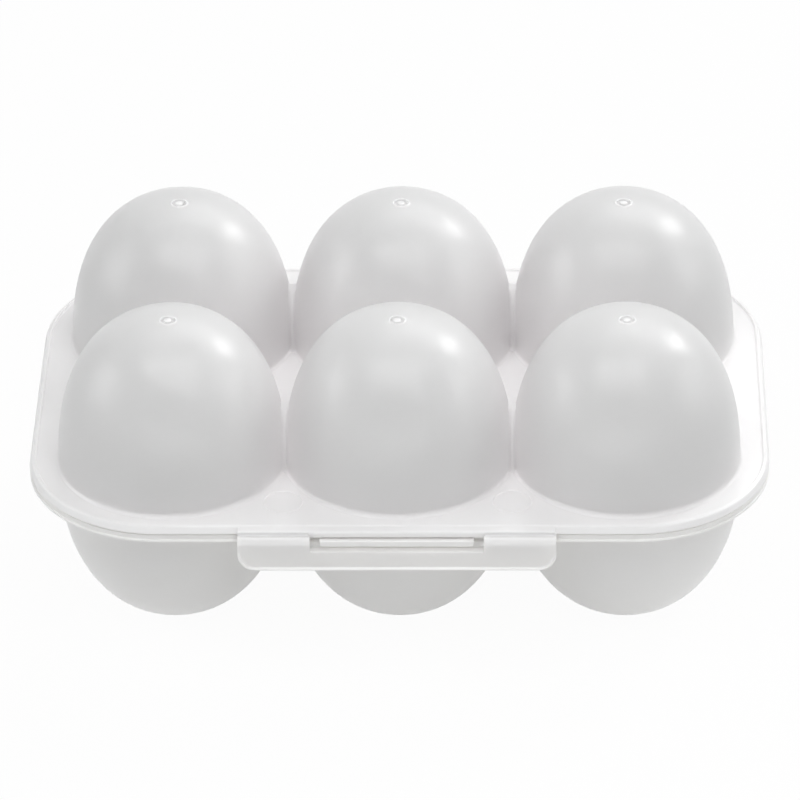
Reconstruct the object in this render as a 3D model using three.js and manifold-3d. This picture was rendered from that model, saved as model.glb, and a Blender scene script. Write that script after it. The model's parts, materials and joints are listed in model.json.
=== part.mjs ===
// Egg storage box for six eggs, moulded in frosted polypropylene.
//
// A tray with six egg cups and a lid with six egg domes meet at a flat rim. Thin straps moulded
// behind the rim join them as a living hinge. A latch flap hangs from the front of the lid on
// two thin webs, and its slot drops over a catch ledge on the front of the tray.
//
// Millimetres, +Z up, the long side along X and the latch at -Y. The origin is on the table
// under the middle of the box. The pieces are drawn about the parting plane, where the lid's
// flat underside lies at height zero, and the whole box is then lifted onto its feet.

import * as THREE from 'three';
import { mergeVertices } from 'three/addons/utils/BufferGeometryUtils.js';
import Module from 'manifold-3d';

const wasm = await Module();
wasm.setup();

// Egg cells
const columns = 3;
const rows = 2;
const cell_gap = 0.3;
const wall = 1.2;

// Domes of the lid, each a rounded egg end. Neighbours run into one another by the crease
const dome_radius = 24.3;
const dome_crease = 0.6;
const dome_height = 34.9;
const dome_fullness = 2.38;
const dome_fillet = 2.2;

// Cups of the tray, a little wider than the domes and cut off flat at the foot
const cup_extra_radius = 0.2;
const cup_depth = 34.8;
const cup_fullness = 2.31;
const cup_fillet = 1.5;
const foot_radius = 6;

// Decks and their raised rims, with the least flat left between a rim and a cell's flare
const end_margin = 6.2;
const front_margin = 4.05;
const corner_radius = 28.7;
const deck_thickness = 1.2;
const rim_width = 1.5;
const rim_clearance = 0.05;
const lid_rim_height = 1.7;
const tray_rim_height = 1.8;
const parting_gap = 0.2;

// Rear living hinge
const rear_web_width = 36;
const rear_web_spacing = 50;
const rear_web_thickness = 0.35;
const rear_web_leg = 0.6;

// Latch land on the lid and the webs that carry the flap
const flap_width = 66.3;
const land_reach = 1.45;
const land_height = 1.5;
const flap_web_length = 0.4;
const flap_web_thickness = 0.3;
const flap_web_inset = 0.3;
const flap_hinge_height = 0.8;

// Latch flap
const flap_thickness = 1.4;
const flap_drop = 6.6;
const flap_top_rise = 0.05;
const flap_shoulder_radius = 1.35;
const flap_corner_radius = 3.7;
const flap_lip_reach = 0.5;
const flap_lip_height = 0.5;
const flap_lip_ramp = 0.5;
const slot_width = 36.2;
const slot_floor_slope = 0.5;

// Catch ledge on the tray
const catch_width = 32.1;
const catch_reach = 2.35;
const catch_height = 1.36;
const catch_corner_radius = 0.8;
const catch_clearance = 0.15;

// Cuts run past the faces that they open by this much
const overrun = 1;

// Facets of the round shapes
const cell_facets = 24;
const profile_facets = 6;
const fillet_facets = 2;
const corner_facets = 7;
const small_facets = 3;

// Places worked out from the sizes
const cell_pitch = dome_radius * 2 - dome_crease;
const cup_radius = dome_radius + cup_extra_radius;
const half_length = (columns - 1) / 2 * cell_pitch + dome_radius + end_margin;
const half_depth = (rows - 1) / 2 * cell_pitch + dome_radius + front_margin;
const tray_top = -parting_gap;
const tray_deck_bottom = tray_top - deck_thickness;
const flare_room = Math.min(end_margin, front_margin) - rim_width - rim_clearance;
const dome_flare = Math.min(dome_fillet, flare_room);
const cup_flare = Math.min(cup_fillet, flare_room - cup_extra_radius);
const rear_web_outer = rear_web_thickness + parting_gap / 2;
const rear_reach = half_depth + rear_web_leg + rear_web_outer;
const land_front = half_depth + land_reach;
const flap_back = land_front + flap_web_length;
const flap_front = flap_back + flap_thickness;
const flap_top = flap_hinge_height + flap_top_rise;
const front_reach = flap_front + flap_lip_reach;
const catch_front = half_depth + catch_reach;
const catch_bottom = tray_top - catch_height;

// Axis of the latch flap, in the middle of its webs' length
const latch_axis_reach = land_front + flap_web_length / 2;

// The slot's floor starts just outside the circle that the catch's lower edge stands on
const catch_swing = Math.hypot(catch_front - latch_axis_reach, flap_hinge_height - catch_bottom);
const slot_swing = catch_swing + catch_clearance;
const slot_floor_drop = Math.sqrt(slot_swing ** 2 - (flap_back - latch_axis_reach) ** 2);
const slot_floor_back = flap_hinge_height - slot_floor_drop;
const slot_floor_front = slot_floor_back - slot_floor_slope;

// Closed mesh to solid, turned the right way out where its winding was reversed
function toSolid(geometry) {
  const bare = geometry.index ? geometry.toNonIndexed() : geometry.clone();
  bare.deleteAttribute('normal');
  bare.deleteAttribute('uv');
  const merged = mergeVertices(bare);
  const position = merged.attributes.position.array;
  const corners = Array.from(merged.index.array);
  const kept = [];
  let volume = 0;
  for (let i = 0; i < corners.length; i += 3) {
    const [a, b, c] = corners.slice(i, i + 3);
    if (a === b || b === c || c === a) {
      continue;
    }
    kept.push(a, b, c);
    const [pa, pb, pc] = [a, b, c].map((v) => new THREE.Vector3().fromArray(position, 3 * v));
    volume += pa.dot(pb.cross(pc));
  }
  if (volume < 0) {
    kept.reverse();
  }
  const mesh = new wasm.Mesh({
    numProp: 3,
    vertProperties: Float32Array.from(position),
    triVerts: Uint32Array.from(kept),
  });
  return new wasm.Manifold(mesh);
}

// Solid back to a geometry that a mesh can show
function toGeometry(solid) {
  const mesh = solid.getMesh();
  const geometry = new THREE.BufferGeometry();
  geometry.setAttribute('position', new THREE.BufferAttribute(mesh.vertProperties, 3));
  geometry.setIndex(new THREE.BufferAttribute(mesh.triVerts, 1));
  geometry.computeVertexNormals();
  return geometry;
}

// Flat outline raised from one height to another
function plate(shape, bottom, top) {
  const geometry = new THREE.ExtrudeGeometry(shape, {
    depth: top - bottom,
    bevelEnabled: false,
    curveSegments: corner_facets,
  });
  geometry.translate(0, 0, bottom);
  return toSolid(geometry);
}

// Side view, drawn as (distance towards the front, height), run along X about the middle
function bar(points, width) {
  const outline = points.map(([reach, height]) => new THREE.Vector2(reach, height));
  const geometry = new THREE.ExtrudeGeometry(new THREE.Shape(outline), {
    depth: width,
    bevelEnabled: false,
  });
  geometry.translate(0, 0, -width / 2);
  // The drawing's first axis points to the front, its second up, and its depth along X
  geometry.applyMatrix4(new THREE.Matrix4().makeBasis(
    new THREE.Vector3(0, -1, 0),
    new THREE.Vector3(0, 0, 1),
    new THREE.Vector3(1, 0, 0),
  ));
  return toSolid(geometry);
}

// Front view, drawn as (x, height), run between two distances towards the front
function frontPlate(shape, near, far) {
  const geometry = new THREE.ExtrudeGeometry(shape, {
    depth: far - near,
    bevelEnabled: false,
    curveSegments: small_facets,
  });
  geometry.rotateX(Math.PI / 2);
  geometry.translate(0, -near, 0);
  return toSolid(geometry);
}

// Block between two opposite corners
function block(low, high) {
  const size = new THREE.Vector3().subVectors(high, low);
  const centre = new THREE.Vector3().addVectors(low, high).multiplyScalar(0.5);
  const geometry = new THREE.BoxGeometry(size.x, size.y, size.z);
  geometry.translate(centre.x, centre.y, centre.z);
  return toSolid(geometry);
}

// Rectangle with round corners about the middle of the box
function roundedRectangle(half_x, half_y, radius) {
  const shape = new THREE.Shape();
  shape.moveTo(half_x, -half_y + radius);
  shape.absarc(half_x - radius, half_y - radius, radius, 0, Math.PI / 2);
  shape.absarc(-half_x + radius, half_y - radius, radius, Math.PI / 2, Math.PI);
  shape.absarc(-half_x + radius, -half_y + radius, radius, Math.PI, Math.PI * 3 / 2);
  shape.absarc(half_x - radius, -half_y + radius, radius, Math.PI * 3 / 2, Math.PI * 2);
  return shape;
}

// Column and row of every cell, with the names that its place gives it
const cells = [];
const column_names = ['left', 'centre', 'right'];
const row_names = ['front', 'rear'];
for (let row = 0; row < rows; row += 1) {
  for (let column = 0; column < columns; column += 1) {
    cells.push({
      name: `${row_names[row] ?? row + 1}_${column_names[column] ?? column + 1}`,
      column,
      row,
      x: (column - (columns - 1) / 2) * cell_pitch,
      y: (row - (rows - 1) / 2) * cell_pitch,
    });
  }
}

// Round outline of a cell's opening, facet for facet the same as the turned shells
function cellOutline(cell, radius) {
  const points = [];
  for (let i = 0; i < cell_facets; i += 1) {
    const angle = i / cell_facets * Math.PI * 2;
    points.push(new THREE.Vector2(
      cell.x + radius * Math.sin(angle),
      cell.y + radius * Math.cos(angle),
    ));
  }
  return points;
}

// Deck with a raised rim around it and an opening for each cell
function deck(opening_radius, bottom, top, rim_bottom, rim_top) {
  const floor = roundedRectangle(half_length, half_depth, corner_radius);
  for (const cell of cells) {
    floor.holes.push(new THREE.Path(cellOutline(cell, opening_radius)));
  }
  const rim = roundedRectangle(half_length, half_depth, corner_radius);
  rim.holes.push(roundedRectangle(
    half_length - rim_width,
    half_depth - rim_width,
    corner_radius - rim_width,
  ));
  return plate(floor, bottom, top).add(plate(rim, rim_bottom, rim_top));
}

// Quarter of an egg-shaped section from its widest ring to its tip, as (radius, height)
function eggCurve(radius, height, fullness, end_radius) {
  const last = Math.acos((end_radius / radius) ** (fullness / 2));
  const points = [];
  for (let i = 0; i <= profile_facets; i += 1) {
    const angle = last * i / profile_facets;
    points.push([
      i === profile_facets ? end_radius : radius * Math.cos(angle) ** (2 / fullness),
      height * Math.sin(angle) ** (2 / fullness),
    ]);
  }
  return points;
}

// Part of an egg curve above a height, starting on the curve at that height
function curveAbove(points, height, radius, full_height, fullness) {
  const start = radius * (1 - (height / full_height) ** fullness) ** (1 / fullness);
  return [[start, height], ...points.filter(([, z]) => z > height)];
}

// Turned shell with its flared foot ring at the start height
function turnedShell(spec) {
  const { radius, height, fullness, fillet, end_radius, start } = spec;
  const outer = curveAbove(
    eggCurve(radius, height, fullness, end_radius), start + fillet, radius, height, fullness);
  const inner_size = [radius - wall, height - wall];
  const inner = curveAbove(
    eggCurve(...inner_size, fullness, 0), start, ...inner_size, fullness);
  const flare = [];
  for (let i = 0; i < fillet_facets; i += 1) {
    const angle = Math.PI / 2 * i / fillet_facets;
    flare.push([
      outer[0][0] + fillet * (1 - Math.sin(angle)),
      start + fillet * (1 - Math.cos(angle)),
    ]);
  }
  const opening = radius - wall;
  inner[0] = [opening, start];
  const rim = [...inner.reverse(), ...flare, ...outer];
  if (end_radius > 0) {
    rim.push([0, outer[outer.length - 1][1]]);
  }
  const profile = rim.map(([r, z]) => new THREE.Vector2(r, z));
  return new THREE.LatheGeometry(profile, cell_facets);
}

// Shell put in its cell and cut clear of its neighbours' shells
function cellShell(cell, geometry, reach) {
  geometry.rotateX(Math.PI / 2);
  geometry.translate(cell.x, cell.y, 0);
  const side = cell_pitch / 2 - cell_gap / 2;
  const open = cell_pitch;
  const low = new THREE.Vector3(
    cell.x - (cell.column > 0 ? side : open),
    cell.y - (cell.row > 0 ? side : open),
    -reach,
  );
  const high = new THREE.Vector3(
    cell.x + (cell.column < columns - 1 ? side : open),
    cell.y + (cell.row < rows - 1 ? side : open),
    reach,
  );
  return toSolid(geometry).intersect(block(low, high));
}

// Lid dome, standing on the lid's deck
function dome(cell) {
  const geometry = turnedShell({
    radius: dome_radius,
    height: dome_height,
    fullness: dome_fullness,
    fillet: dome_flare,
    end_radius: 0,
    start: deck_thickness,
  });
  return cellShell(cell, geometry, dome_height + overrun);
}

// Tray cup, hanging under the tray's deck
function cup(cell) {
  const geometry = turnedShell({
    radius: cup_radius,
    height: cup_depth,
    fullness: cup_fullness,
    fillet: cup_flare,
    end_radius: foot_radius,
    start: -tray_deck_bottom,
  });
  geometry.scale(1, -1, 1);
  return cellShell(cell, geometry, cup_depth + overrun);
}

// Lid deck with the land that stands out in front for the latch flap
function lidDeck() {
  const land = block(
    new THREE.Vector3(-flap_width / 2, -land_front, 0),
    new THREE.Vector3(flap_width / 2, -half_depth + rim_width / 2, land_height),
  );
  return deck(dome_radius - wall, 0, deck_thickness, 0, lid_rim_height).add(land);
}

// Tray deck, whose rim hangs below it
function trayDeck() {
  return deck(
    cup_radius - wall, tray_deck_bottom, tray_top, tray_top - tray_rim_height, tray_top);
}

// Catch ledge on the front of the tray's rim, its lower corners rounded
function catchLedge() {
  const half = catch_width / 2;
  const radius = catch_corner_radius;
  const face = new THREE.Shape();
  face.moveTo(half, tray_top);
  face.lineTo(-half, tray_top);
  face.absarc(-half + radius, catch_bottom + radius, radius, Math.PI, Math.PI * 3 / 2);
  face.absarc(half - radius, catch_bottom + radius, radius, Math.PI * 3 / 2, Math.PI * 2);
  return frontPlate(face, half_depth, catch_front);
}

// Strap that leaves the tray's rim, loops behind it and comes back to the lid's rim
function rearWeb(side) {
  const turn = half_depth + rear_web_leg;
  const middle = -parting_gap / 2;
  const inner_radius = parting_gap / 2;
  const steps = small_facets * 2;
  const loop = (radius, from, to) => {
    const points = [];
    for (let i = 0; i <= steps; i += 1) {
      const angle = from + (to - from) * i / steps;
      points.push([-(turn + radius * Math.cos(angle)), middle + radius * Math.sin(angle)]);
    }
    return points;
  };
  const section = [
    [-half_depth, middle - rear_web_outer],
    ...loop(rear_web_outer, -Math.PI / 2, Math.PI / 2),
    [-half_depth, middle + rear_web_outer],
    [-half_depth, middle + inner_radius],
    ...loop(inner_radius, Math.PI / 2, -Math.PI / 2),
    [-half_depth, middle - inner_radius],
  ];
  return bar(section, rear_web_width).translate([side * rear_web_spacing / 2, 0, 0]);
}

// Thin web between the lid's land and one arm of the flap
function flapWeb(side) {
  const arm = (flap_width - slot_width) / 2;
  const width = arm - flap_web_inset * 2;
  const middle = side * (slot_width + arm) / 2;
  return block(
    new THREE.Vector3(middle - width / 2, -flap_back, flap_top - flap_web_thickness),
    new THREE.Vector3(middle + width / 2, -land_front, flap_top),
  );
}

// Latch flap: two arms and a cross bar around the slot, with a lip along its lower edge
function latchFlap() {
  const bottom = -flap_drop;
  const shoulder = [];
  for (let i = 0; i <= small_facets; i += 1) {
    const angle = Math.PI / 2 * (1 - i / small_facets);
    shoulder.push([
      flap_front - flap_shoulder_radius * (1 - Math.cos(angle)),
      flap_top - flap_shoulder_radius * (1 - Math.sin(angle)),
    ]);
  }
  const section = [
    [flap_back, bottom],
    [flap_back, flap_top],
    ...shoulder,
    [flap_front, bottom + flap_lip_height + flap_lip_ramp],
    [front_reach, bottom + flap_lip_height],
    [front_reach, bottom],
  ];
  const half = flap_width / 2;
  const radius = flap_corner_radius;
  const face = new THREE.Shape();
  face.moveTo(half, flap_top);
  face.lineTo(-half, flap_top);
  face.absarc(-half + radius, bottom + radius, radius, Math.PI, Math.PI * 3 / 2);
  face.absarc(half - radius, bottom + radius, radius, Math.PI * 3 / 2, Math.PI * 2);
  const slot = bar([
    [flap_back - overrun, flap_top + overrun],
    [flap_back - overrun, slot_floor_back],
    [flap_back, slot_floor_back],
    [flap_front, slot_floor_front],
    [flap_front + overrun, slot_floor_front],
    [flap_front + overrun, flap_top + overrun],
  ], slot_width);
  return bar(section, flap_width)
    .intersect(frontPlate(face, flap_back - overrun, front_reach + overrun))
    .subtract(slot);
}

// Frosted polypropylene, a little greyer where two walls lie one behind the other
const finishes = {
  lid: { color: 0xe6e6e7, roughness: 0.38, metalness: 0 },
  tray: { color: 0xd8d7d5, roughness: 0.42, metalness: 0 },
  latch: { color: 0xdedddb, roughness: 0.4, metalness: 0 },
  hinge: { color: 0xeeeeee, roughness: 0.35, metalness: 0 },
};

// Box on its feet, with the origin under the middle of its full length and depth
const box = new THREE.Group();
const foot_drop = cup_depth * (1 - (foot_radius / cup_radius) ** cup_fullness) ** (1 / cup_fullness);
box.position.set(0, (front_reach - rear_reach) / 2, foot_drop);

function piece(name, solid, finish) {
  const material = new THREE.MeshStandardMaterial(finishes[finish]);
  const mesh = new THREE.Mesh(toGeometry(solid), material);
  mesh.name = name;
  box.add(mesh);
}

piece('tray_deck', trayDeck(), 'tray');
piece('catch_ledge', catchLedge(), 'tray');
piece('lid_deck', lidDeck(), 'lid');
for (const cell of cells) {
  piece(`egg_cup_${cell.name}`, cup(cell), 'tray');
  piece(`egg_dome_${cell.name}`, dome(cell), 'lid');
}
piece('rear_hinge_web_left', rearWeb(-1), 'hinge');
piece('rear_hinge_web_right', rearWeb(1), 'hinge');
piece('flap_hinge_web_left', flapWeb(-1), 'hinge');
piece('flap_hinge_web_right', flapWeb(1), 'hinge');
piece('latch_flap', latchFlap(), 'latch');

export default box;
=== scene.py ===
import json
import math

import bmesh
import bpy
from bpy.props import FloatProperty, FloatVectorProperty, IntProperty, PointerProperty
from mathutils import Matrix, Vector


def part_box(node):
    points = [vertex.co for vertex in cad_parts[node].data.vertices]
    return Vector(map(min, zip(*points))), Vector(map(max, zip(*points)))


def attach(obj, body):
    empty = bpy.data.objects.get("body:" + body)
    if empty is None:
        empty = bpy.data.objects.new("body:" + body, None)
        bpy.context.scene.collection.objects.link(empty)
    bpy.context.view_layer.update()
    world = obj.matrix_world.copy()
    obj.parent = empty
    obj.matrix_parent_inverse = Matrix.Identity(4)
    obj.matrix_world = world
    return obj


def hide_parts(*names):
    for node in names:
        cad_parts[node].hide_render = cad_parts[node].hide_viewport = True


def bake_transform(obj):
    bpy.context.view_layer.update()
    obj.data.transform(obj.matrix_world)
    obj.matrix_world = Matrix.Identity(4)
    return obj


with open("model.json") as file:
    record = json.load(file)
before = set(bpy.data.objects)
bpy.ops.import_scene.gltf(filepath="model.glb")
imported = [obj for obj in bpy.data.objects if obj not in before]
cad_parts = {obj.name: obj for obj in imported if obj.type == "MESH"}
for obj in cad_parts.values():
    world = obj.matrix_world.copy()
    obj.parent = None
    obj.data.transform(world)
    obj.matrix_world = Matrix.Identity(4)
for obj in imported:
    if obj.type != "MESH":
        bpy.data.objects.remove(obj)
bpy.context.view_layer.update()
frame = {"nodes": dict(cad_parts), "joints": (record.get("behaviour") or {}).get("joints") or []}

bl_info = {
    "name": "Egg storage box",
    "version": (1, 0, 0),
    "blender": (4, 5, 0),
    "location": "View3D > Sidebar > Egg box",
    "description": "Frosted six-cell egg box with a living hinge and a slotted latch flap",
    "category": "Object",
}

MM = 0.001
# Edges that turn more than this are rounded, or kept sharp in the shading
SHARP_ANGLE = math.radians(35)
# Sides of the cells' round sections
CELL_SEGMENTS = 112

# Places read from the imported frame
lid_low, lid_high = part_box("lid_deck")
tray_low, tray_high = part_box("tray_deck")
dome_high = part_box("egg_dome_front_centre")[1]
cup_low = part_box("egg_cup_front_centre")[0]
flap_low, flap_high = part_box("latch_flap")
catch_low, catch_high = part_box("catch_ledge")
PARTING = lid_low.z
MIDDLE_Y = (tray_low.y + tray_high.y) / 2
RIM_FRONT = tray_low.y
RIM_REAR = tray_high.y
LAND_FRONT = lid_low.y
HALF_LENGTH = tray_high.x
HALF_DEPTH = (tray_high.y - tray_low.y) / 2


def joint_place(name):
    """Point on a joint's axis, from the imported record."""
    for joint in frame["joints"]:
        if joint["name"] == name:
            return Vector(joint["pos_m"])
    raise RuntimeError(f"the record has no joint named {name}")


def srgb(hex_colour):
    """Linear red, green, blue and alpha of an sRGB hex colour."""
    linear = []
    for start in (1, 3, 5):
        part = int(hex_colour[start:start + 2], 16) / 255
        linear.append(part / 12.92 if part <= 0.04045 else ((part + 0.055) / 1.055) ** 2.4)
    return (*linear, 1.0)


# Sizes and colours that a user would change


def length_property(name, description, millimetres):
    """Length in metres, whose default is given in millimetres."""
    return FloatProperty(
        name=name, description=description, default=millimetres * MM,
        min=0, precision=5, unit="LENGTH")


def colour_property(name, description, hex_colour):
    """Colour whose default is an sRGB hex colour."""
    return FloatVectorProperty(
        name=name, description=description, default=srgb(hex_colour), subtype="COLOR", size=4)


class EggBoxCells(bpy.types.PropertyGroup):
    """Sizes of the cups and domes."""

    columns: IntProperty(name="Columns", description="Cells along the box", default=3, min=1)
    rows: IntProperty(name="Rows", description="Cells across the box", default=2, min=1)
    pitch: length_property("Pitch", "Distance between the middles of two cells", 48)
    wall: length_property("Wall", "Thickness of the moulded wall", 1.2)
    dome_radius: length_property("Dome radius", "Outer radius where a dome is widest", 24.3)
    dome_fullness: FloatProperty(
        name="Dome fullness", description="Power of the dome's rounded section", default=2.38)
    dome_flare: length_property("Dome flare", "Radius of the hollow round at a dome's foot", 0.7)
    cup_radius: length_property("Cup radius", "Outer radius where a cup is widest", 24.5)
    cup_fullness: FloatProperty(
        name="Cup fullness", description="Power of the cup's rounded section", default=2.31)
    cup_full_depth: length_property(
        "Cup depth", "Depth that the cup would have with no flat foot", 34.8)
    cup_flare: length_property("Cup flare", "Radius of the hollow round at a cup's top", 1.5)
    foot_radius: length_property("Foot radius", "Radius of the flat foot under a cup", 6)
    lead_in: length_property("Lead-in", "Rounding of a cell's mouth", 0.5)
    crease_round: length_property("Crease rounding", "Hollow round where two cells meet", 0.9)
    seam: length_property("Seam", "Width of the fine seam along a crease", 0.2)


class EggBoxRims(bpy.types.PropertyGroup):
    """Sizes of the decks, their rims and the latch."""

    corner_radius: length_property("Corner radius", "Radius of the box's corners", 28.7)
    deck: length_property("Deck", "Thickness of the flat decks", 1.2)
    lid_edge: length_property("Lid edge", "Height of the lid's outer edge", 1.45)
    valley_inset: length_property("Valley inset", "Shallow valley in the lid's rim", 0.7)
    ridge_inset: length_property("Ridge inset", "Ridge of the lid's rim, from the edge", 1.2)
    rim_width: length_property("Rim width", "Width of the raised rims", 1.5)
    edge_round: length_property("Edge rounding", "Rounding of the moulded edges", 0.3)
    lip: length_property("Lip", "How far the tray's lower lip stands out", 0.3)
    lip_height: length_property("Lip height", "Height of the tray's lower lip", 0.45)
    groove: length_property("Groove", "Step of the tray's rim under the gap to the lid", 0.2)
    land_height: length_property("Land height", "Height of the latch land on the lid", 1.5)
    disc_radius: length_property("Disc radius", "Round ejector marks between the domes", 4.2)
    disc_inset: length_property("Disc inset", "Ejector marks, from the front edge", 10.4)
    slot_width: length_property("Slot width", "Width of the flap's slot", 36.2)
    flap_corner: length_property("Flap corner", "Radius of the flap's lower corners", 3.7)
    flap_shoulder: length_property("Flap shoulder", "Height of the flap's rounded top", 1.9)
    flap_lip: length_property("Flap lip", "How far the flap's finger lip stands out", 0.5)
    flap_lip_height: length_property("Flap lip height", "Height of the finger lip", 0.33)
    flap_lip_ramp: length_property("Flap lip ramp", "Rise from the finger lip to the face", 0.27)


class EggBoxFinish(bpy.types.PropertyGroup):
    """Colours of the frosted polypropylene."""

    lid_colour: colour_property("Lid", "Colour of the lid", "#FDFAFB")
    tray_colour: colour_property("Tray", "Colour of the tray", "#FCFAF6")
    latch_colour: colour_property("Latch", "Colour of the latch flap", "#FCFAF7")
    floor_colour: colour_property("Floor", "Colour of the floor", "#F4F4F4")


# Small mesh tools


def mesh_object(name, vertices, faces):
    """Object with a mesh of these points and faces, turned so that its faces point out."""
    mesh = bpy.data.meshes.new(name)
    mesh.from_pydata([tuple(v) for v in vertices], [], faces)
    work = bmesh.new()
    work.from_mesh(mesh)
    bmesh.ops.recalc_face_normals(work, faces=work.faces)
    work.to_mesh(mesh)
    work.free()
    obj = bpy.data.objects.new(name, mesh)
    bpy.context.scene.collection.objects.link(obj)
    return obj


def stacked(name, vertices, rings):
    """Solid between rings of equally many vertices, given one after the other."""
    count = len(vertices) // rings
    faces = [tuple(reversed(range(count)))]
    for ring in range(rings - 1):
        low = ring * count
        for i in range(count):
            j = (i + 1) % count
            faces.append((low + i, low + j, low + count + j, low + count + i))
    top = (rings - 1) * count
    faces.append(tuple(range(top, top + count)))
    return mesh_object(name, vertices, faces)


def turned(name, profile, segments):
    """Solid of revolution about Z. The profile starts and ends on the axis."""
    vertices = [(0, 0, profile[0][1])]
    for radius, height in profile[1:-1]:
        for i in range(segments):
            angle = i / segments * math.tau
            vertices.append((radius * math.cos(angle), radius * math.sin(angle), height))
    vertices.append((0, 0, profile[-1][1]))
    rings = len(profile) - 2
    faces = []
    for i in range(segments):
        j = (i + 1) % segments
        faces.append((0, 1 + j, 1 + i))
        for ring in range(rings - 1):
            low = 1 + ring * segments
            high = low + segments
            faces.append((low + i, low + j, high + j, high + i))
        last = 1 + (rings - 1) * segments
        faces.append((last + i, last + j, len(vertices) - 1))
    return mesh_object(name, vertices, faces)


def rounded_outline(half_x, half_y, radius, corner_steps):
    """Points of a rectangle with round corners, counter-clockwise, about the box's middle."""
    points = []
    corners = ((1, -1, -0.25), (1, 1, 0), (-1, 1, 0.25), (-1, -1, 0.5))
    for side_x, side_y, first_turn in corners:
        for i in range(corner_steps + 1):
            angle = (first_turn + i / corner_steps / 4) * math.tau
            points.append((
                side_x * (half_x - radius) + radius * math.cos(angle),
                side_y * (half_y - radius) + radius * math.sin(angle),
            ))
    return points


def edged_plate(name, profile, corner_radius, corner_steps=24):
    """Plate whose edge follows the box's outline. The profile is (inset, height) pairs."""
    vertices = []
    for inset, height in profile:
        outline = rounded_outline(
            HALF_LENGTH - inset, HALF_DEPTH - inset, corner_radius - inset, corner_steps)
        vertices.extend((x, y + MIDDLE_Y, PARTING + height) for x, y in outline)
    return stacked(name, vertices, len(profile))


def prism(name, outline, low, high, axes):
    """Outline drawn on the first two axes and run along the third, from low to high."""
    vertices = []
    for depth in (low, high):
        for u, v in outline:
            point = Vector((0, 0, 0))
            point[axes[0]] = u
            point[axes[1]] = v
            point[axes[2]] = depth
            vertices.append(point)
    count = len(outline)
    faces = [tuple(range(count)), tuple(reversed(range(count, 2 * count)))]
    for i in range(count):
        j = (i + 1) % count
        faces.append((i, i + count, j + count, j))
    return mesh_object(name, vertices, faces)


def arc(centre, radius, start, end, steps):
    """Points of an arc between two angles in degrees."""
    points = []
    for i in range(steps + 1):
        angle = math.radians(start + (end - start) * i / steps)
        points.append((centre[0] + radius * math.cos(angle), centre[1] + radius * math.sin(angle)))
    return points


def eased(corners, reach, steps=4):
    """Polyline whose inner corners are rounded, each over the given reach along its sides."""
    most = 0.45
    corners = [Vector(corner) for corner in corners]
    points = [corners[0]]
    for before, corner, after in zip(corners, corners[1:], corners[2:]):
        back = before - corner
        ahead = after - corner
        start = corner + back.normalized() * min(reach, back.length * most)
        end = corner + ahead.normalized() * min(reach, ahead.length * most)
        for i in range(steps + 1):
            share = i / steps
            points.append(start.lerp(corner, share).lerp(corner.lerp(end, share), share))
    points.append(corners[-1])
    return [tuple(point) for point in points]


def boolean(target, operand, operation):
    """Boolean modifier for two closed meshes, with the operand hidden."""
    modifier = target.modifiers.new(operation.title(), "BOOLEAN")
    modifier.operation = operation
    modifier.solver = "MANIFOLD"
    modifier.object = operand
    operand.hide_render = True


def rounded_edges(target, width, segments=3):
    """Bevel modifier for the edges that a mould would round."""
    modifier = target.modifiers.new("Rounded edges", "BEVEL")
    modifier.width = width
    modifier.segments = segments
    modifier.limit_method = "ANGLE"
    modifier.angle_limit = SHARP_ANGLE


def plain_mesh(source):
    """Mesh of an object as its modifiers leave it."""
    bpy.context.view_layer.update()
    evaluated = source.evaluated_get(bpy.context.evaluated_depsgraph_get())
    return bpy.data.meshes.new_from_object(evaluated)


def settle(source, name, helpers=()):
    """Smooth-shaded piece from an object with its modifiers. Object and helpers are removed."""
    mesh = plain_mesh(source)
    if not mesh.polygons:
        raise RuntimeError(f"{name} came out empty")
    mesh.name = name
    for helper in (source, *helpers):
        bpy.data.objects.remove(helper, do_unlink=True)
    work = bmesh.new()
    work.from_mesh(mesh)
    bmesh.ops.remove_doubles(work, verts=work.verts, dist=MM / 1000)
    work.to_mesh(mesh)
    work.free()
    mesh.shade_smooth()
    mesh.set_sharp_from_angle(angle=SHARP_ANGLE)
    obj = bpy.data.objects.new(name, mesh)
    bpy.context.scene.collection.objects.link(obj)
    even = obj.modifiers.new("Flat faces stay flat", "WEIGHTED_NORMAL")
    even.keep_sharp = True
    even.weight = 80
    shaded = plain_mesh(obj)
    obj.modifiers.remove(even)
    obj.data = shaded
    bpy.data.meshes.remove(mesh)
    shaded.name = name
    return obj


def dress(obj, material):
    """Puts one material on a piece."""
    obj.data.materials.clear()
    obj.data.materials.append(material)


# Material tools


def add_node(tree, kind, settings=None, values=None, links=None):
    """Node with its settings, socket values and incoming links."""
    node = tree.nodes.new(kind)
    for key, value in (settings or {}).items():
        setattr(node, key, value)
    for key, value in (values or {}).items():
        node.inputs[key].default_value = value
    for key, source in (links or {}).items():
        tree.links.new(source, node.inputs[key])
    return node


def maths(tree, operation, first, second):
    """Result of a Math node for two terms, each a socket or a number."""
    node = add_node(tree, "ShaderNodeMath", {"operation": operation})
    for socket, term in zip(node.inputs, (first, second)):
        if isinstance(term, bpy.types.NodeSocket):
            tree.links.new(term, socket)
        else:
            socket.default_value = term
    return node.outputs[0]


def empty_material(name):
    """Node material with nothing in it yet."""
    material = bpy.data.materials.new(name)
    material.use_nodes = True
    material.node_tree.nodes.clear()
    return material


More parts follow.
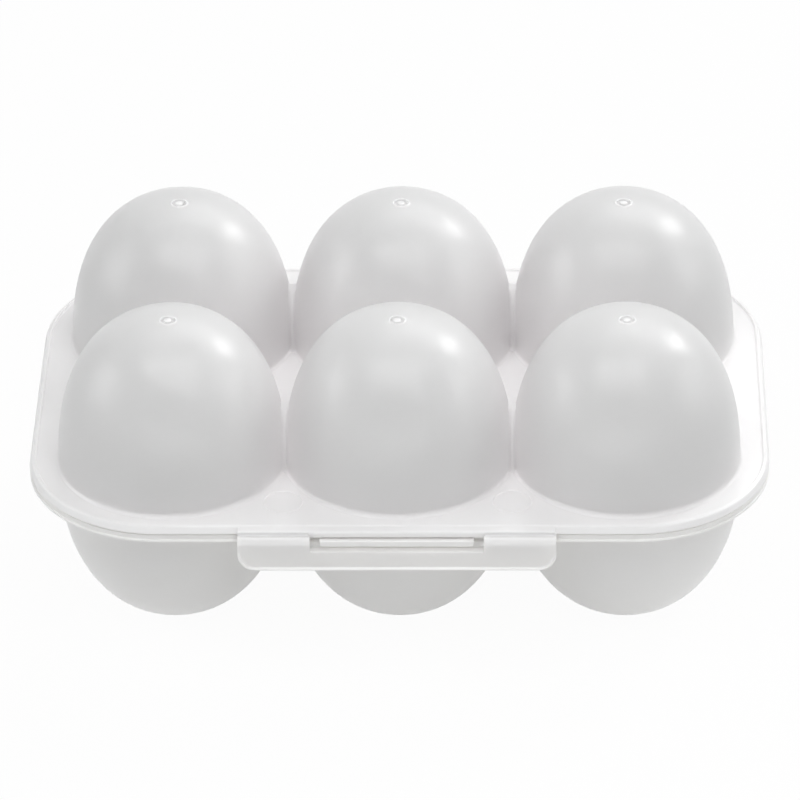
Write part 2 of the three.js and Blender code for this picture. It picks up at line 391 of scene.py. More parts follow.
def spread_painting_whiteness_by_height(tree, height, table):
    """How far light spreads in the resin, from (height above the parting plane, spread) rows.
    Short spreads paint whiter.
    """
    low = table[0][0]
    high = table[-1][0]
    share = add_node(tree, "ShaderNodeMapRange", values={
        "From Min": PARTING + low, "From Max": PARTING + high}, links={"Value": height})
    ramp = add_node(tree, "ShaderNodeValToRGB", links={"Fac": share.outputs["Result"]})
    stops = ramp.color_ramp.elements
    for stop, spread in ((stops[0], table[0][1]), (stops[1], table[-1][1])):
        stop.color = (spread, spread, spread, 1)
    for place, spread in table[1:-1]:
        stops.new((place - low) / (high - low)).color = (spread, spread, spread, 1)
    # The gates' rings and nubs stand above the domes and get the first row's short spread, which
    # paints them whiter
    gate_start = dome_high.z + 0.02 * MM
    either = add_node(tree, "ShaderNodeMix", values={"B": table[0][1]}, links={
        "Factor": maths(tree, "GREATER_THAN", height, gate_start), "A": ramp.outputs["Color"]})
    return either.outputs["Result"]


def frosted_polypropylene(name, colour, roughness, table):
    """Frosted polypropylene, injection moulded against a spark-eroded cavity.

    The natural resin is milky, so light spreads inside the wall. The eroded cavity leaves a fine
    even grain that blurs reflections to soft patches. Rims and lips are solid and the decks lie
    on one another. The table gives light a shorter spread at their heights, which paints them
    whiter than the thin walls of the cells: partly their real look, partly painted light.
    """
    material = empty_material(name)
    tree = material.node_tree
    place = add_node(tree, "ShaderNodeTexCoord")

    # Spark-eroded grain is about 0.05 mm; it is drawn at 0.25 mm, the finest that can show
    grain_size = 0.25 * MM
    grain = add_node(tree, "ShaderNodeTexNoise", values={
        "Scale": 1 / grain_size, "Detail": 2, "Roughness": 0.6,
    }, links={"Vector": place.outputs["Object"]})

    # Melt flow leaves slow waves in the wall, a centimetre or so long
    flow_size = 14 * MM
    flow = add_node(tree, "ShaderNodeTexNoise", values={
        "Scale": 1 / flow_size, "Detail": 2, "Roughness": 0.5, "Distortion": 0.4,
    }, links={"Vector": place.outputs["Object"]})
    waves = add_node(tree, "ShaderNodeBump", values={
        "Strength": 0.25, "Distance": 0.04 * MM,
    }, links={"Height": flow.outputs["Fac"]})
    frosting = add_node(tree, "ShaderNodeBump", values={
        "Strength": 0.22, "Distance": 0.012 * MM,
    }, links={"Height": grain.outputs["Fac"], "Normal": waves.outputs["Normal"]})

    # Cloudiness of the resin shifts the colour a little. The sockets are factor, A and B
    cloudiness = 0.97
    denser = (*(channel * cloudiness for channel in colour[:3]), 1.0)
    cloud = add_node(tree, "ShaderNodeMix", settings={"data_type": "RGBA"}, values={
        6: tuple(colour), 7: denser,
    }, links={0: flow.outputs["Fac"]})
    unevenness = 0.02
    dulling = add_node(tree, "ShaderNodeMapRange", values={
        "From Min": 0.3, "From Max": 0.7,
        "To Min": roughness - unevenness, "To Max": roughness + unevenness,
    }, links={"Value": flow.outputs["Fac"]})

    shader = add_node(tree, "ShaderNodeBsdfPrincipled", values={
        "IOR": 1.49,
        "Subsurface Weight": 1.0,
        "Subsurface Radius": (1.0, 1.0, 1.0),
        "Subsurface Scale": table[0][1],
    }, links={
        "Base Color": cloud.outputs[2],
        "Roughness": dulling.outputs["Result"],
        "Normal": frosting.outputs["Normal"],
    })
    if len(table) > 1:
        parts = add_node(tree, "ShaderNodeSeparateXYZ", links={
            "Vector": place.outputs["Object"]})
        tree.links.new(
            spread_painting_whiteness_by_height(tree, parts.outputs["Z"], table), shader.inputs["Subsurface Scale"])
    add_node(tree, "ShaderNodeOutputMaterial", links={"Surface": shader.outputs["BSDF"]})
    return material


def finish_material(kind):
    """Material of one panel, made once and shared by its pieces.

    The rows give a height above the parting plane and the spread of light there. The lid's flat
    deck is a narrow band of heights, where light spreads further than in the rims. The short
    spreads paint the rims, lips, deck, webs and the flap's top whiter than the cells, as painted
    light.
    """
    finish = bpy.context.scene.egg_box_finish
    smoother, rougher = 0.31, 0.33
    # Short spreads are painted light: they render rims, lips, decks and webs whiter than the cells
    solid, painted_web_spread, painted_deck_spread = 0.3 * MM, 0.4 * MM, 1.2 * MM
    dome_spread, cup_spread, flap_spread = 4.2 * MM, 2.6 * MM, 5.5 * MM
    deck = bpy.context.scene.egg_box_rims.deck
    deck_band, band_edge = 0.03 * MM, 0.05 * MM
    rims_end, cells_start = 1.85 * MM, 2.6 * MM
    lip_bottom = flap_low.z - PARTING
    lip_end = lip_bottom + 0.7 * MM
    face_start = lip_end + 0.15 * MM
    recipes = {
        "Frosted polypropylene lid": (finish.lid_colour, smoother, (
            (0, solid), (deck - band_edge, solid), (deck - deck_band, painted_deck_spread),
            (deck + deck_band, painted_deck_spread), (deck + band_edge, solid),
            (rims_end, solid), (cells_start, dome_spread))),
        "Frosted polypropylene tray": (finish.tray_colour, rougher, (
            (-cells_start, cup_spread), (-rims_end, solid), (0, solid))),
        # Up the flap's rounded top, light spreads less and less far towards the webs, which paints
        # the top lighter towards the webs as a painted gradient of light
        "Frosted polypropylene latch": (finish.latch_colour, rougher, (
            (lip_bottom, solid), (lip_end, solid), (face_start, flap_spread),
            (-1.7 * MM, flap_spread), (-0.2 * MM, 1.8 * MM), (0.85 * MM, 0.6 * MM))),
        # The webs and straps get a short spread, which paints them whiter against the shade around
        # them
        "Flexed polypropylene web": (finish.lid_colour, smoother, ((0, painted_web_spread),)),
    }
    found = bpy.data.materials.get(kind)
    return found or frosted_polypropylene(kind, *recipes[kind])


# The egg cells


def egg_section(radius, height, fullness, steps):
    """Quarter section from the widest ring to the tip, as (radius, height) pairs."""
    points = []
    for i in range(steps + 1):
        angle = i / steps * math.pi / 2
        points.append((
            radius * max(math.cos(angle), 0) ** (2 / fullness),
            height * math.sin(angle) ** (2 / fullness),
        ))
    return points


def cell_solid(name, radius, height, fullness, flare, base, tip):
    """Outer solid of one cell: hollow round at its foot, egg-shaped wall, and the tip's points."""
    sink = 0.02 * MM
    root = 0.6 * MM
    foot = arc((radius + flare, base + flare - sink), flare, 270, 180, 8)
    wall_end = tip[0][0] * 1.05
    wall = [
        (r, z) for r, z in egg_section(radius, height, fullness, 56)
        if z > base + flare and r > wall_end
    ]
    under = base - root
    profile = [(0, under), (foot[0][0], under), *foot, *wall, *tip]
    return turned(name, profile, CELL_SEGMENTS)


def cavity_solid(name, radius, height, fullness, lead_in):
    """Inner solid of one cell, with a rounded mouth that runs out past the deck."""
    overrun = 1 * MM
    mouth = arc((radius + lead_in, lead_in), lead_in, 270, 180, 6)
    wall = [
        (r, z) for r, z in egg_section(radius, height, fullness, 48) if z > lead_in
    ]
    profile = [(0, -overrun), (mouth[0][0], -overrun), *mouth, *wall]
    profile[-1] = (0, wall[-1][1])
    return turned(name, profile, CELL_SEGMENTS)


def gate_tip(height):
    """Tip of a dome with the gate's ringed dimple and the nub left where it broke off."""
    dimple, slope = 1.5 * MM, 0.1 * MM
    ring_foot, ring_edge, ring_height = 0.45 * MM, 0.3 * MM, 0.1 * MM
    nub, nub_foot, nub_height = 0.75 * MM, 0.15 * MM, 0.42 * MM
    bottom = height - 0.3 * MM
    sink = 0.01 * MM
    return [
        (dimple + ring_foot, height - sink),
        (dimple + ring_edge, height + ring_height),
        (dimple + slope, height + ring_height),
        (dimple - slope, bottom),
        (nub + nub_foot, bottom),
        (nub, bottom + nub_height * 0.8),
        (nub * 0.8, bottom + nub_height),
        (0, bottom + nub_height),
    ]


def ejector_mark(name, radius, deck):
    """Fine raised ring that an ejector pin leaves on a deck."""
    raised = 0.14 * MM
    width = 0.26 * MM
    root = 0.5 * MM
    return turned(name, [
        (0, deck - root), (radius, deck - root), (radius, deck + raised * 0.5),
        (radius - width * 0.4, deck + raised), (radius - width * 0.8, deck + raised * 0.6),
        (radius - width, deck - raised * 0.1), (0, deck - raised * 0.1),
    ], 64)


def flat_tip(radius, height):
    """Tip of a cup, cut flat at its foot with a soft edge."""
    soft = 0.5 * MM
    return [
        (radius + soft, height - soft * 0.22),
        (radius + soft * 0.4, height - soft * 0.05),
        (radius - soft * 0.3, height),
        (radius * 0.5, height),
        (0, height),
    ]


def crease_web(name, radius, height, fullness, round_radius, base, steps=14):
    """Hollow rounds that fill the crease between two cells, drawn about the point between them.

    The cells' middles lie on X, half a pitch to either side, and the web runs along Y. A fine
    seam stands along the bottom of each round, where the two cavities' edges met in the mould.
    """
    half = bpy.context.scene.egg_box_cells.pitch / 2
    seam = bpy.context.scene.egg_box_cells.seam
    seam_opening = 10
    tip_radius = math.sqrt(half ** 2 + 4 * round_radius ** 2) - round_radius
    top = height * (1 - (tip_radius / radius) ** fullness) ** (1 / fullness)
    sink = 0.5 * MM
    tuck = 0.12 * MM
    vertices = []
    for k in range(steps + 1):
        level = base - sink + (top - base + sink) * k / steps
        full = radius * (1 - (max(level, 0) / height) ** fullness) ** (1 / fullness)
        reach = math.sqrt((full + round_radius) ** 2 - half ** 2)
        touch_x = half * round_radius / (full + round_radius)
        touch_y = reach * full / (full + round_radius)
        lean = math.degrees(math.atan2(reach - touch_y, touch_x))
        valley = reach - round_radius
        front = [
            *arc((0, -reach), round_radius, 180 - lean, 90 + seam_opening, 5),
            (-seam / 2, -valley - seam), (seam / 2, -valley - seam),
            *arc((0, -reach), round_radius, 90 - seam_opening, lean, 5),
        ]
        rear = [(-x, -y) for x, y in front]
        outline = [
            (-touch_x - tuck, tuck * 2 - touch_y), *front, (touch_x + tuck, tuck * 2 - touch_y),
            (touch_x + tuck, touch_y - tuck * 2), *rear, (-touch_x - tuck, touch_y - tuck * 2),
        ]
        vertices.extend((x, y, level) for x, y in outline)
    return stacked(name, vertices, steps + 1)


def cell_solids(kind, radius, height, inner_height, fullness, flare, lead_in, base, tip):
    """Solid, cavity, crease web and ejector mark for one kind of cell, drawn upright."""
    cells = bpy.context.scene.egg_box_cells
    return (
        cell_solid(f"{kind}_solid", radius, height, fullness, flare, base, tip),
        cavity_solid(f"{kind}_cavity", radius - cells.wall, inner_height, fullness, lead_in),
        crease_web(f"{kind}_web", radius, height, fullness, cells.crease_round, base),
        ejector_mark(f"{kind}_mark", bpy.context.scene.egg_box_rims.disc_radius, base),
    )


def cell_array_tree():
    """Geometry Nodes: cells set out in rows and columns, joined to a deck and hollowed.

    Webs fill the creases between neighbours, and round marks stand between the columns.
    """
    tree = bpy.data.node_groups.new("Cells joined to a deck", "GeometryNodeTree")
    sockets = (
        ("Deck", "NodeSocketGeometry"),
        ("Cell", "NodeSocketObject"),
        ("Cavity", "NodeSocketObject"),
        ("Web", "NodeSocketObject"),
        ("Mark", "NodeSocketObject"),
        ("Columns", "NodeSocketInt"),
        ("Rows", "NodeSocketInt"),
        ("Pitch", "NodeSocketFloat"),
        ("Mark spacing", "NodeSocketFloat"),
        ("Middle", "NodeSocketVector"),
        ("Material", "NodeSocketMaterial"),
    )
    for name, kind in sockets:
        tree.interface.new_socket(name, in_out="INPUT", socket_type=kind)
    tree.interface.new_socket("Shell", in_out="OUTPUT", socket_type="NodeSocketGeometry")
    given = add_node(tree, "NodeGroupInput").outputs

    def one_less(count):
        """Number of gaps between so many places."""
        return maths(tree, "SUBTRACT", count, 1.0)

    def spread(count, pitch):
        """Length from the first to the last of so many places."""
        return maths(tree, "MULTIPLY", one_less(count), pitch)

    def set_out(piece, columns, rows, length, depth, turn=0.0):
        """One instance of the piece, turned about Z, on every point of a grid."""
        grid = add_node(tree, "GeometryNodeMeshGrid", links={
            "Vertices X": columns, "Vertices Y": rows, "Size X": length, "Size Y": depth})
        placed = add_node(tree, "GeometryNodeTransform", links={
            "Geometry": grid.outputs["Mesh"], "Translation": given["Middle"]})
        shape = add_node(tree, "GeometryNodeObjectInfo", links={"Object": piece})
        return add_node(tree, "GeometryNodeInstanceOnPoints", values={
            "Rotation": (0.0, 0.0, turn),
        }, links={
            "Points": placed.outputs["Geometry"],
            "Instance": shape.outputs["Geometry"],
        }).outputs["Instances"]

    columns, rows, pitch = given["Columns"], given["Rows"], given["Pitch"]
    column_gaps, row_gaps = one_less(columns), one_less(rows)
    length, depth = spread(columns, pitch), spread(rows, pitch)
    gap_length, gap_depth = spread(column_gaps, pitch), spread(row_gaps, pitch)
    cells = set_out(given["Cell"], columns, rows, length, depth)
    cavities = set_out(given["Cavity"], columns, rows, length, depth)
    webs_along = set_out(given["Web"], column_gaps, rows, gap_length, depth)
    webs_across = set_out(given["Web"], columns, row_gaps, length, gap_depth, math.pi / 2)
    marks = set_out(given["Mark"], column_gaps, rows, gap_length, given["Mark spacing"])
    joined = add_node(tree, "GeometryNodeMeshBoolean", {
        "operation": "UNION", "solver": "MANIFOLD",
    })
    for source in (given["Deck"], cells, webs_along, webs_across, marks):
        tree.links.new(source, joined.inputs["Mesh 2"])
    hollowed = add_node(tree, "GeometryNodeMeshBoolean", {
        "operation": "DIFFERENCE", "solver": "MANIFOLD",
    }, links={"Mesh 1": joined.outputs["Mesh"], "Mesh 2": cavities})
    real = add_node(tree, "GeometryNodeRealizeInstances", links={
        "Geometry": hollowed.outputs["Mesh"]})
    dressed = add_node(tree, "GeometryNodeSetMaterial", links={
        "Geometry": real.outputs["Geometry"], "Material": given["Material"]})
    add_node(tree, "NodeGroupOutput", links={"Shell": dressed.outputs["Geometry"]})
    return tree


def shell_of_cells(name, deck, solids, material, helpers=()):
    """Deck with its cells, through the Geometry Nodes tree, settled as a plain mesh."""
    cells = bpy.context.scene.egg_box_cells
    rims = bpy.context.scene.egg_box_rims
    cell, cavity, web, mark = solids
    tree = bpy.data.node_groups.get("Cells joined to a deck") or cell_array_tree()
    modifier = deck.modifiers.new("Cells", "NODES")
    modifier.node_group = tree
    values = {
        "Cell": cell,
        "Cavity": cavity,
        "Web": web,
        "Mark": mark,
        "Columns": cells.columns,
        "Rows": cells.rows,
        "Pitch": cells.pitch,
        "Mark spacing": 2 * (HALF_DEPTH - rims.disc_inset),
        "Middle": (0.0, MIDDLE_Y, PARTING),
        "Material": material,
    }
    for item in tree.interface.items_tree:
        if item.in_out == "INPUT" and item.name in values:
            modifier[item.identifier] = values[item.name]
    return settle(deck, name, helpers=(*solids, *helpers))


# Pieces


class EGGBOX_OT_lid_shell(bpy.types.Operator):
    """Lid: deck with its raised rim and latch land, six domes, and the hollows inside them"""

    bl_idname = "eggbox.lid_shell"
    bl_label = "Lid shell"

    def execute(self, context):
        cells = context.scene.egg_box_cells
        rims = context.scene.egg_box_rims
        material = finish_material("Frosted polypropylene lid")
        ease = rims.edge_round
        top = lid_high.z - PARTING
        foot = rims.rim_width - rims.ridge_inset
        # The outer face stands upright, then slopes in to the valley
        upright = rims.lid_edge * 0.18
        slope_end = (rims.valley_inset * 0.6, rims.lid_edge * 0.88)
        outer_face = eased([
            (ease * 2, 0),
            (0, 0),
            (0, upright),
            slope_end,
            (rims.valley_inset, rims.lid_edge),
        ], ease * 0.35)
        ridge = eased([
            (rims.valley_inset - ease, rims.lid_edge),
            (rims.valley_inset, rims.lid_edge),
            (rims.ridge_inset, top),
            (rims.rim_width, rims.deck),
            (rims.rim_width + foot, rims.deck),
        ], ease * 0.5)
        deck = edged_plate("lid_plate", [*outer_face[1:-1], *ridge[1:]], rims.corner_radius)
        land_top = PARTING + rims.land_height
        land_back = RIM_FRONT + rims.rim_width / 2
        land = prism("lid_land", [
            (LAND_FRONT, PARTING),
            (LAND_FRONT, land_top),
            (land_back, land_top),
            (land_back, PARTING),
        ], flap_low.x, flap_high.x, (1, 2, 0))
        rounded_edges(land, ease * 1.3, segments=4)
        boolean(deck, land, "UNION")
        height = dome_high.z - PARTING
        solids = cell_solids(
            "dome", cells.dome_radius, height, height - cells.wall, cells.dome_fullness,
            cells.dome_flare, cells.lead_in, rims.deck, gate_tip(height))
        shell = shell_of_cells("lid_shell", deck, solids, material, helpers=(land,))
        dress(shell, material)
        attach(shell, "lid")
        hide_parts("lid_deck", *(n for n in frame["nodes"] if n.startswith("egg_dome")))
        return {"FINISHED"}


class EGGBOX_OT_tray_shell(bpy.types.Operator):
    """Tray: deck with its hanging rim, six cups on flat feet, and the hollows inside them"""

    bl_idname = "eggbox.tray_shell"
    bl_label = "Tray shell"

    def execute(self, context):
        cells = context.scene.egg_box_cells
        rims = context.scene.egg_box_rims
        material = finish_material("Frosted polypropylene tray")
        ease = rims.edge_round
        top = tray_high.z - PARTING
        bottom = tray_low.z - PARTING
        foot = rims.rim_width * 0.8
        lip_top = bottom + rims.lip_height
        deck = edged_plate("tray_plate", eased([
            (rims.rim_width + foot, top - rims.deck),
            (rims.rim_width, top - rims.deck),
            (rims.rim_width, bottom),
            (0, bottom),
            (0, lip_top),
            (rims.lip, lip_top + rims.lip * 0.6),
            (rims.lip, top - rims.groove),
            (rims.lip + rims.groove, top - rims.groove),
            (rims.lip + rims.groove, top),
            (rims.lip + foot, top),
        ], ease * 0.25), rims.corner_radius)
        # The cups are drawn upright, as the domes are, then mirrored downwards
        depth = PARTING - cup_low.z
        solids = cell_solids(
            "cup", cells.cup_radius, cells.cup_full_depth, depth - cells.wall,
            cells.cup_fullness, cells.cup_flare, cells.lead_in - top, rims.deck - top,
            flat_tip(cells.foot_radius, depth))
        for solid in solids:
            solid.data.transform(Matrix.Scale(-1, 4, (0, 0, 1)))
            solid.data.flip_normals()
        shell = shell_of_cells("tray_shell", deck, solids, material)
        dress(shell, material)
        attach(shell, "tray")
        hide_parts("tray_deck", *(n for n in frame["nodes"] if n.startswith("egg_cup")))
        return {"FINISHED"}


class EGGBOX_OT_catch(bpy.types.Operator):
    """Catch ledge on the tray's rim that the flap's cross bar hooks under"""

    bl_idname = "eggbox.catch"
    bl_label = "Catch ledge"

    def execute(self, context):
        material = finish_material("Frosted polypropylene tray")
        corner = 0.8 * MM
        root = RIM_FRONT + 0.6 * MM
        ease = 0.16 * MM
        outline = [
            (catch_high.x, catch_high.z),
            (catch_low.x, catch_high.z),
            *arc((catch_low.x + corner, catch_low.z + corner), corner, 180, 270, 8),
            *arc((catch_high.x - corner, catch_low.z + corner), corner, 270, 360, 8),
        ]
        ledge = prism("catch_solid", outline, catch_low.y, root, (0, 2, 1))
        rounded_edges(ledge, ease)
        ledge = settle(ledge, "catch_bar")
        dress(ledge, material)
        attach(ledge, "tray")
        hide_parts("catch_ledge")
        return {"FINISHED"}


class EGGBOX_OT_flap(bpy.types.Operator):
    """Latch flap: two arms, the cross bar under the slot, and a finger lip below"""

    bl_idname = "eggbox.flap"
    bl_label = "Latch flap"

    def execute(self, context):
        rims = context.scene.egg_box_rims
        material = finish_material("Frosted polypropylene latch")
        overrun = 1 * MM
        back = flap_high.y
        lip_front = flap_low.y
        front = lip_front + rims.flap_lip
        top = flap_high.z
        bottom = flap_low.z
        flap = self.lipped_plate(rims, back, front, bottom, top)
        shoulder_depth = 1.35 * MM
        shoulder_start = top - rims.flap_shoulder
        steps = 16
        curve = []
        for i in range(steps + 1):
            angle = math.pi / 2 * i / steps
            curve.append((
                front + shoulder_depth * (1 - math.cos(angle)),
                top - rims.flap_shoulder * (1 - math.sin(angle)),
            ))
        trim = prism("flap_trim", [
            (back + overrun, top),
            (back + overrun, bottom - overrun),
            (lip_front - overrun, bottom - overrun),
            (lip_front - overrun, shoulder_start - overrun),
            *curve,
        ], flap_low.x - overrun, flap_high.x + overrun, (1, 2, 0))
        # The slot's floor swings clear of the catch and slopes down towards the front
        axis = joint_place("latch_hinge")
        clearance = 0.15 * MM
        slope = 0.5 * MM
        soft = 0.06 * MM
        catch_swing = math.hypot(axis.y - catch_low.y, axis.z - catch_low.z) + clearance
        floor_back = axis.z - math.sqrt(catch_swing ** 2 - (axis.y - back) ** 2)
        floor_front = floor_back - slope
        half_slot = rims.slot_width / 2
        slot = prism("flap_slot", [
            (back + overrun, top + overrun),
            (back + overrun, floor_back - overrun * 0.6),
            (back - soft, floor_back - soft * 0.3),
            (front + soft * 2, floor_front + soft * 0.7),
            (front + soft, floor_front),
            (front, floor_front - soft),
            (front - overrun, floor_front - overrun),
            (front - overrun, top + overrun),
        ], -half_slot, half_slot, (1, 2, 0))
        boolean(flap, trim, "INTERSECT")
        boolean(flap, slot, "DIFFERENCE")
        flap = settle(flap, "flap_panel", helpers=(trim, slot))
        dress(flap, material)
        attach(flap, "flap")
        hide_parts("latch_flap")
        return {"FINISHED"}

    def lipped_plate(self, rims, back, front, bottom, top):
        """Plate with round lower corners, whose finger lip follows them and fades above.

        The profile runs from the back to the front: inset, depth and share of the finger lip.
        """
        ease = 0.12 * MM
        lip_end = rims.flap_lip_height + rims.flap_lip_ramp
        side_steps, corner_steps = 12, 20
        profile = (
            (ease, back, 0),
            (ease * 0.3, back - ease * 0.3, 0),
            (0, back - ease, 0),
            (0, front + ease, 1),
            (ease * 0.3, front + ease * 0.3, 1),
            (ease, front, 1),
            (rims.flap_lip_height, front, 1),
            (lip_end, front, 0),
        )
        corners_end = bottom + rims.flap_corner
        fade_start = bottom + rims.flap_corner * 0.7
        fade_end = corners_end + 1.2 * MM
        half = flap_high.x
        side = half - rims.flap_corner
        vertices = []
        for inset, depth, lip_share in profile:
            corner = rims.flap_corner - inset
            right = [
                (half - inset, top + (corners_end - top) * i / side_steps)
                for i in range(side_steps)
            ]
            outline = [
                *right,
                *reversed(arc((side, corners_end), corner, 270, 360, corner_steps)),
                *reversed(arc((-side, corners_end), corner, 180, 270, corner_steps)),
                *((-x, z) for x, z in reversed(right)),
            ]
            for x, z in outline:
                share = min(max((fade_end - z) / (fade_end - fade_start), 0), 1)
                stand_out = rims.flap_lip * lip_share * share ** 2 * (3 - 2 * share)
                vertices.append((x, depth - stand_out, z))
        count = len(vertices) // len(profile)
        faces = [tuple(range(count))]
        for ring in range(len(profile) - 1):
            low = ring * count
            for i in range(count):
                j = (i + 1) % count
                faces.append((low + i, low + count + i, low + count + j, low + j))
        last = (len(profile) - 1) * count
        faces.append(tuple(reversed(range(last, last + count))))
        return mesh_object("flap_plate", vertices, faces)


def strip(name, line, thickness, low_x, high_x, columns=12):
    """Thin strip with a centre line of (y, z) points, given its thickness, run along X."""
    left, right = [], []
    for i, point in enumerate(line):
        before = line[max(i - 1, 0)]
        after = line[min(i + 1, len(line) - 1)]
        along = Vector((after[0] - before[0], after[1] - before[1])).normalized()
        across = Vector((-along.y, along.x)) * thickness / 2
        left.append((point[0] + across.x, point[1] + across.y))
        right.append((point[0] - across.x, point[1] - across.y))
    section = left + right[::-1]
    vertices = []
    for k in range(columns + 1):
        x = low_x + (high_x - low_x) * k / columns
        vertices.extend((x, y, z) for y, z in section)
    count = len(section)
    rows = len(line)
    faces = []
    for k in range(columns):
        for i in range(count):
            j = (i + 1) % count
            faces.append((
                k * count + i, k * count + j, (k + 1) * count + j, (k + 1) * count + i))
    for start in (0, columns * count):
        for i in range(rows - 1):
            faces.append((
                start + i, start + i + 1, start + count - 2 - i, start + count - 1 - i))
    return mesh_object(name, vertices, faces)


class EGGBOX_OT_flap_webs(bpy.types.Operator):
    """Two thin webs between the flap and the lid's land"""

    bl_idname = "eggbox.flap_webs"
    bl_label = "Flap webs"

    def execute(self, context):
        material = finish_material("Flexed polypropylene web")
        sink = 0.12 * MM
        lift = 0.02 * MM
        rise = 0.4 * MM
        steps = 12
        for side in ("left", "right"):
            node = f"flap_hinge_web_{side}"
            low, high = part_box(node)
            middle = (low.z + high.z) / 2
            near = high.y + sink
            far = low.y - sink
            line = []
            for i in range(steps + 1):
                share = i / steps
                line.append((
                    near + (far - near) * share,
                    middle + lift + rise * (1 - share) ** 3,
                ))
            web = strip(f"flap_web_{side}", line, high.z - low.z, low.x, high.x)
            web = settle(web, f"flap_web_piece_{side}")
            dress(web, material)
            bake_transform(web)
            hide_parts(node)
        return {"FINISHED"}


class EGGBOX_OT_rear_straps(bpy.types.Operator):
    """Two straps of the rear living hinge, looped behind the closed rims"""

    bl_idname = "eggbox.rear_straps"
    bl_label = "Rear hinge straps"

    def execute(self, context):
        rims = context.scene.egg_box_rims
        material = finish_material("Flexed polypropylene web")
        gap = PARTING - tray_high.z
        sink = rims.lip + 0.25 * MM
        for side in ("left", "right"):
            node = f"rear_hinge_web_{side}"
            low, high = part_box(node)
            thickness = (high.z - low.z - gap) / 2
            bend = (gap + thickness) / 2
            middle = (low.z + high.z) / 2
            turn = high.y - bend - thickness / 2
            line = [
                (RIM_REAR - sink, middle - bend), (RIM_REAR, middle - bend),
                *arc((turn, middle), bend, -90, 90, 24),
                (RIM_REAR, middle + bend), (RIM_REAR - sink, middle + bend),
            ]
            # The strap is drawn a little thinner than its solid
            strap = strip(f"rear_strap_{side}", line, thickness * 0.96, low.x, high.x, 24)
            strap = settle(strap, f"rear_strap_piece_{side}")
            dress(strap, material)
            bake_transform(strap)
            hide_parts(node)
        return {"FINISHED"}


# Stage


def soft_lamp(target, name, direction, distance, width, height, power):
    """Area lamp that looks at the target from a direction."""
    data = bpy.data.lights.new(name, "AREA")
    data.shape = "RECTANGLE"
    data.size = width
    data.size_y = height
    data.energy = power
    lamp = bpy.data.objects.new(name, data)
    away = Vector(direction).normalized()
    lamp.location = target + away * distance
    lamp.rotation_euler = away.to_track_quat("Z", "Y").to_euler()
    lamp.visible_camera = False
    bpy.context.scene.collection.objects.link(lamp)


def seen_rays(tree):
    """Value of 1 for rays from the camera and for reflected and transmitted ones, else 0."""
    rays = add_node(tree, "ShaderNodeLightPath").outputs
    either = maths(tree, "MAXIMUM", rays["Is Camera Ray"], rays["Is Glossy Ray"])
    return maths(tree, "MAXIMUM", either, rays["Is Transmission Ray"])


def pale_floor_material(colour):
    """Matt pale board. The camera and reflections see it nearly white, with a faint shadow."""
    material = empty_material("Pale matt board")
    tree = material.node_tree
    whiteness = 0.96
    board = add_node(tree, "ShaderNodeBsdfDiffuse", values={"Color": tuple(colour)})
    glow = add_node(tree, "ShaderNodeEmission", values={
        "Color": (1, 1, 1, 1), "Strength": 1.0})
    whitening = maths(tree, "MULTIPLY", seen_rays(tree), whiteness)
    mixed = add_node(tree, "ShaderNodeMixShader", links={
        0: whitening, 1: board.outputs["BSDF"], 2: glow.outputs["Emission"]})
    add_node(tree, "ShaderNodeOutputMaterial", links={"Surface": mixed.outputs["Shader"]})
    return material


def studio_world(level):
    """Even studio light, before a backdrop that the camera and reflections see white."""
    world = bpy.data.worlds.new("White studio")
    world.use_nodes = True
    tree = world.node_tree
    tree.nodes.clear()
    ambient, backdrop = (
        add_node(tree, "ShaderNodeBackground", values={
            "Color": (1, 1, 1, 1), "Strength": strength}).outputs["Background"]
        for strength in (level, 1.0))
    mixed = add_node(tree, "ShaderNodeMixShader", links={
        0: seen_rays(tree), 1: ambient, 2: backdrop})
    add_node(tree, "ShaderNodeOutputWorld", links={"Surface": mixed.outputs["Shader"]})
    return world


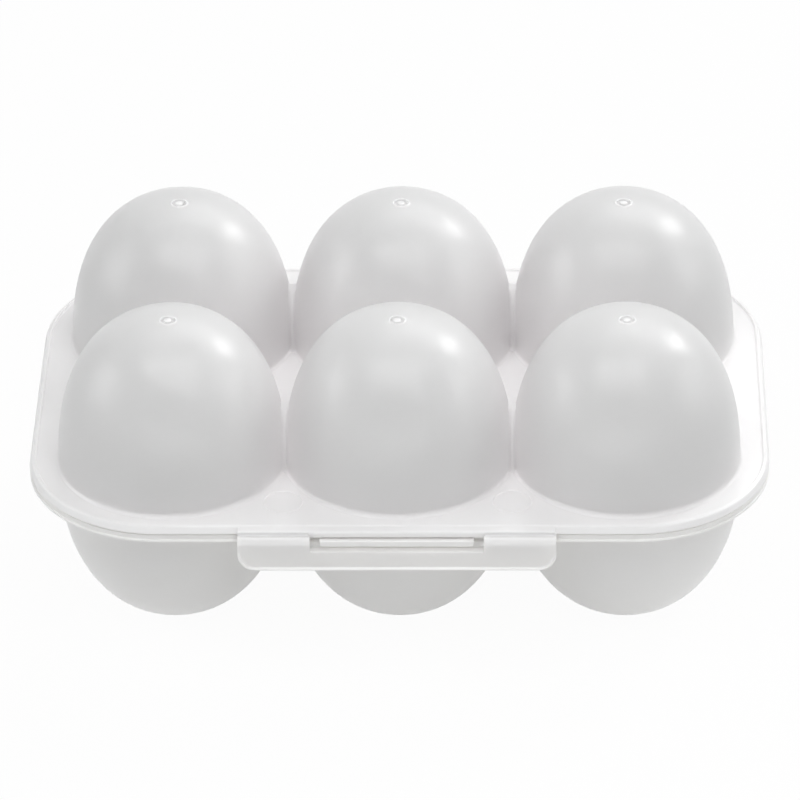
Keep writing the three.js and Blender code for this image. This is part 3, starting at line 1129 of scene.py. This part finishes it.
class EGGBOX_OT_stage(bpy.types.Operator):
    """Pale floor, white studio light, soft lamps and the camera"""

    bl_idname = "eggbox.stage"
    bl_label = "Stage"

    def execute(self, context):
        finish = context.scene.egg_box_finish
        half_floor = 3.0
        floor = mesh_object("floor", [
            (-half_floor, -half_floor, 0), (half_floor, -half_floor, 0),
            (half_floor, half_floor, 0), (-half_floor, half_floor, 0),
        ], [(0, 1, 2, 3)])
        floor.data.materials.append(pale_floor_material(finish.floor_colour))
        context.scene.world = studio_world(level=0.2)
        heart = Vector((0, MIDDLE_Y, PARTING))
        # Name, direction, then distance, width and height in metres and power in watts
        lamps = (
            ("near_softbox", (0, -0.35, 0.94), 0.45, 0.4, 0.3, 0.82),
            ("rear_softbox", (0.35, 0.64, 0.69), 1.0, 0.95, 0.45, 2.4),
            ("rear_edge_lamp", (0.61, 0.54, 0.58), 1.0, 0.3, 0.3, 1.9),
            ("rear_top_lamp", (0, 0.5, 0.87), 1.0, 0.6, 0.4, 0.35),
            ("front_fill", (0, -1, 0.05), 1.0, 1.2, 0.3, 2.3),
            ("left_fill", (-1, 0, 0.4), 1.0, 0.5, 0.5, 1.8),
            ("right_fill", (1, 0, 0.4), 1.0, 0.5, 0.5, 1.2),
            ("front_lamp", (0.31, -0.63, 0.71), 1.0, 0.2, 0.2, 0.35),
            ("left_lamp", (-0.34, -0.22, 0.91), 1.0, 0.14, 0.14, 0.35),
        )
        for lamp in lamps:
            soft_lamp(heart, *lamp)
        self.place_camera(context)
        context.scene.view_settings.view_transform = "Standard"
        return {"FINISHED"}

    def place_camera(self, context):
        """Long lens from slightly right of the middle, with a small lean as in the photo."""
        azimuth = math.radians(1.459)
        elevation = math.radians(32.59)
        lean = math.radians(-0.831)
        distance = 1.2546
        lens = 261.7
        target = Vector((-0.274 * MM, MIDDLE_Y, PARTING - 0.284 * MM))
        level = math.cos(elevation)
        forward = Vector((
            -math.sin(azimuth) * level, math.cos(azimuth) * level, -math.sin(elevation)))
        right = Vector((math.cos(azimuth), math.sin(azimuth), 0))
        up = right.cross(forward)
        turned_right = right * math.cos(lean) + up * math.sin(lean)
        turned_up = up * math.cos(lean) - right * math.sin(lean)
        data = bpy.data.cameras.new("photo_camera")
        data.lens = lens
        data.sensor_width = 36
        data.sensor_fit = "HORIZONTAL"
        data.clip_end = 20
        camera = bpy.data.objects.new("photo_camera", data)
        axes = Matrix((turned_right, turned_up, -forward)).transposed().to_4x4()
        camera.matrix_world = Matrix.Translation(target - forward * distance) @ axes
        context.scene.collection.objects.link(camera)
        context.scene.camera = camera


OPERATORS = (
    EGGBOX_OT_stage,
    EGGBOX_OT_lid_shell,
    EGGBOX_OT_tray_shell,
    EGGBOX_OT_catch,
    EGGBOX_OT_flap,
    EGGBOX_OT_flap_webs,
    EGGBOX_OT_rear_straps,
)


class EGGBOX_PT_panel(bpy.types.Panel):
    """Sidebar panel that lists the pieces and their sizes"""

    bl_label = "Egg box"
    bl_idname = "EGGBOX_PT_panel"
    bl_space_type = "VIEW_3D"
    bl_region_type = "UI"
    bl_category = "Egg box"

    def draw(self, context):
        layout = self.layout
        for group in ("egg_box_cells", "egg_box_rims", "egg_box_finish"):
            settings = getattr(context.scene, group)
            section = layout.box()
            for name in settings.bl_rna.properties.keys():
                if name not in ("name", "rna_type"):
                    section.prop(settings, name)
        for operator in OPERATORS:
            layout.operator(operator.bl_idname)


GROUPS = {
    "egg_box_cells": EggBoxCells,
    "egg_box_rims": EggBoxRims,
    "egg_box_finish": EggBoxFinish,
}
CLASSES = (*GROUPS.values(), *OPERATORS, EGGBOX_PT_panel)


def register():
    for cls in CLASSES:
        bpy.utils.register_class(cls)
    for name, group in GROUPS.items():
        setattr(bpy.types.Scene, name, PointerProperty(type=group))


def unregister():
    for name in GROUPS:
        delattr(bpy.types.Scene, name)
    for cls in reversed(CLASSES):
        bpy.utils.unregister_class(cls)


def main():
    """Registers the add-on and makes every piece."""
    register()
    for operator in OPERATORS:
        group, name = operator.bl_idname.split(".")
        getattr(getattr(bpy.ops, group), name)()


if __name__ == "__main__":
    main()
